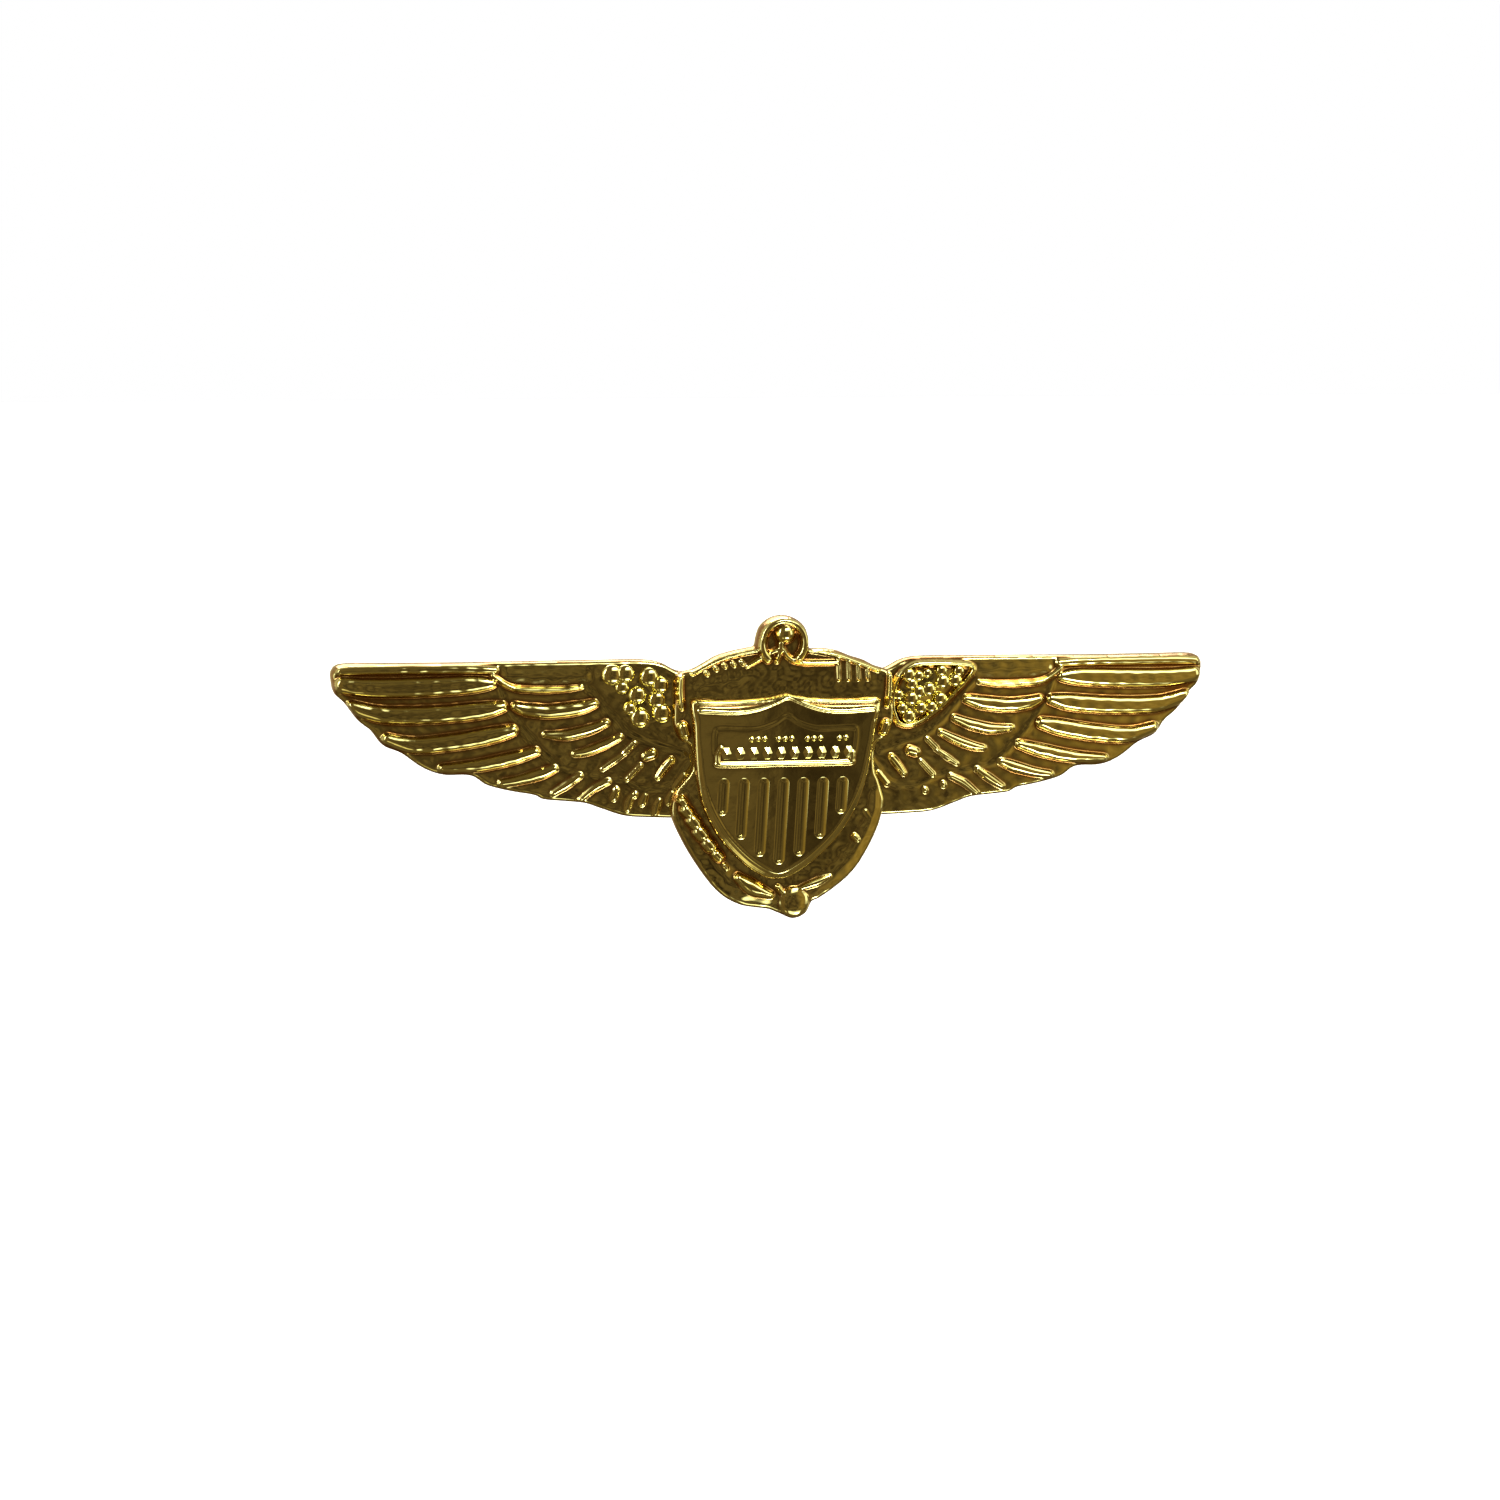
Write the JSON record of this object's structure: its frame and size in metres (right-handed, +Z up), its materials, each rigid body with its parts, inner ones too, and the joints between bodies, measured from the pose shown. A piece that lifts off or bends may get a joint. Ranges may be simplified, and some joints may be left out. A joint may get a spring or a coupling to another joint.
{
  "type": "pilot wings pin",
  "caption": "Gilt metal badge: a shield over an anchor between feathered wings, bowed, on posts with squeeze-to-release butterfly clutches.",
  "frame": {"origin": "on the badge's back face at the middle, midway between the axes of the two posts", "axes": "+X to the viewer's right along the wings, +Z up as worn, -Y out of the front face, +Y along the posts"},
  "size_m": [0.07, 0.0138, 0.0239],
  "materials": {
    "gilt_wings": "struck brass, polished and gilt, darker in the grooves",
    "gilt_anchor": "struck brass, polished and gilt",
    "gilt_shield": "struck brass, polished and gilt",
    "post_metal": "drawn brass wire, gilt",
    "clutch_brass": "pressed brass, bright",
    "spring_brass": "spring brass strip, bright"
  },
  "bodies": {
    "badge": {"wing_plate": "gilt_wings", "anchor": "gilt_anchor", "shield": "gilt_shield", "left_post": "post_metal", "right_post": "post_metal"},
    "left_clutch": {"left_clutch_base": "clutch_brass", "left_clutch_spring": "spring_brass"},
    "left_inner_wing": {"left_clutch_inner_wing": "spring_brass"},
    "left_outer_wing": {"left_clutch_outer_wing": "spring_brass"},
    "right_clutch": {"right_clutch_base": "clutch_brass", "right_clutch_spring": "spring_brass"},
    "right_inner_wing": {"right_clutch_inner_wing": "spring_brass"},
    "right_outer_wing": {"right_clutch_outer_wing": "spring_brass"}
  },
  "joints": [
    {"name": "left_clutch_slide", "type": "slide", "parent": "badge", "child": "left_clutch", "axis": [0, 1, 0], "range_m": [0, 0.012]},
    {"name": "left_inner_wing_squeeze", "type": "hinge", "parent": "left_clutch", "child": "left_inner_wing", "pos_m": [-0.01002, 0.00506, 0], "axis": [0, 0, 1], "range_deg": [0, 10], "stiffness_Nm_per_rad": 0.002},
    {"name": "left_outer_wing_squeeze", "type": "hinge", "parent": "left_clutch", "child": "left_outer_wing", "pos_m": [-0.01798, 0.00506, 0], "axis": [0, 0, -1], "range_deg": [0, 10], "stiffness_Nm_per_rad": 0.002},
    {"name": "right_clutch_slide", "type": "slide", "parent": "badge", "child": "right_clutch", "axis": [0, 1, 0], "range_m": [0, 0.012]},
    {"name": "right_inner_wing_squeeze", "type": "hinge", "parent": "right_clutch", "child": "right_inner_wing", "pos_m": [0.01002, 0.00506, 0], "axis": [0, 0, -1], "range_deg": [0, 10], "stiffness_Nm_per_rad": 0.002},
    {"name": "right_outer_wing_squeeze", "type": "hinge", "parent": "right_clutch", "child": "right_outer_wing", "pos_m": [0.01798, 0.00506, 0], "axis": [0, 0, 1], "range_deg": [0, 10], "stiffness_Nm_per_rad": 0.002}
  ],
  "couplings": [
    {"joint": "left_outer_wing_squeeze", "follows": "left_inner_wing_squeeze", "ratio": 1},
    {"joint": "right_outer_wing_squeeze", "follows": "right_inner_wing_squeeze", "ratio": 1}
  ]
}
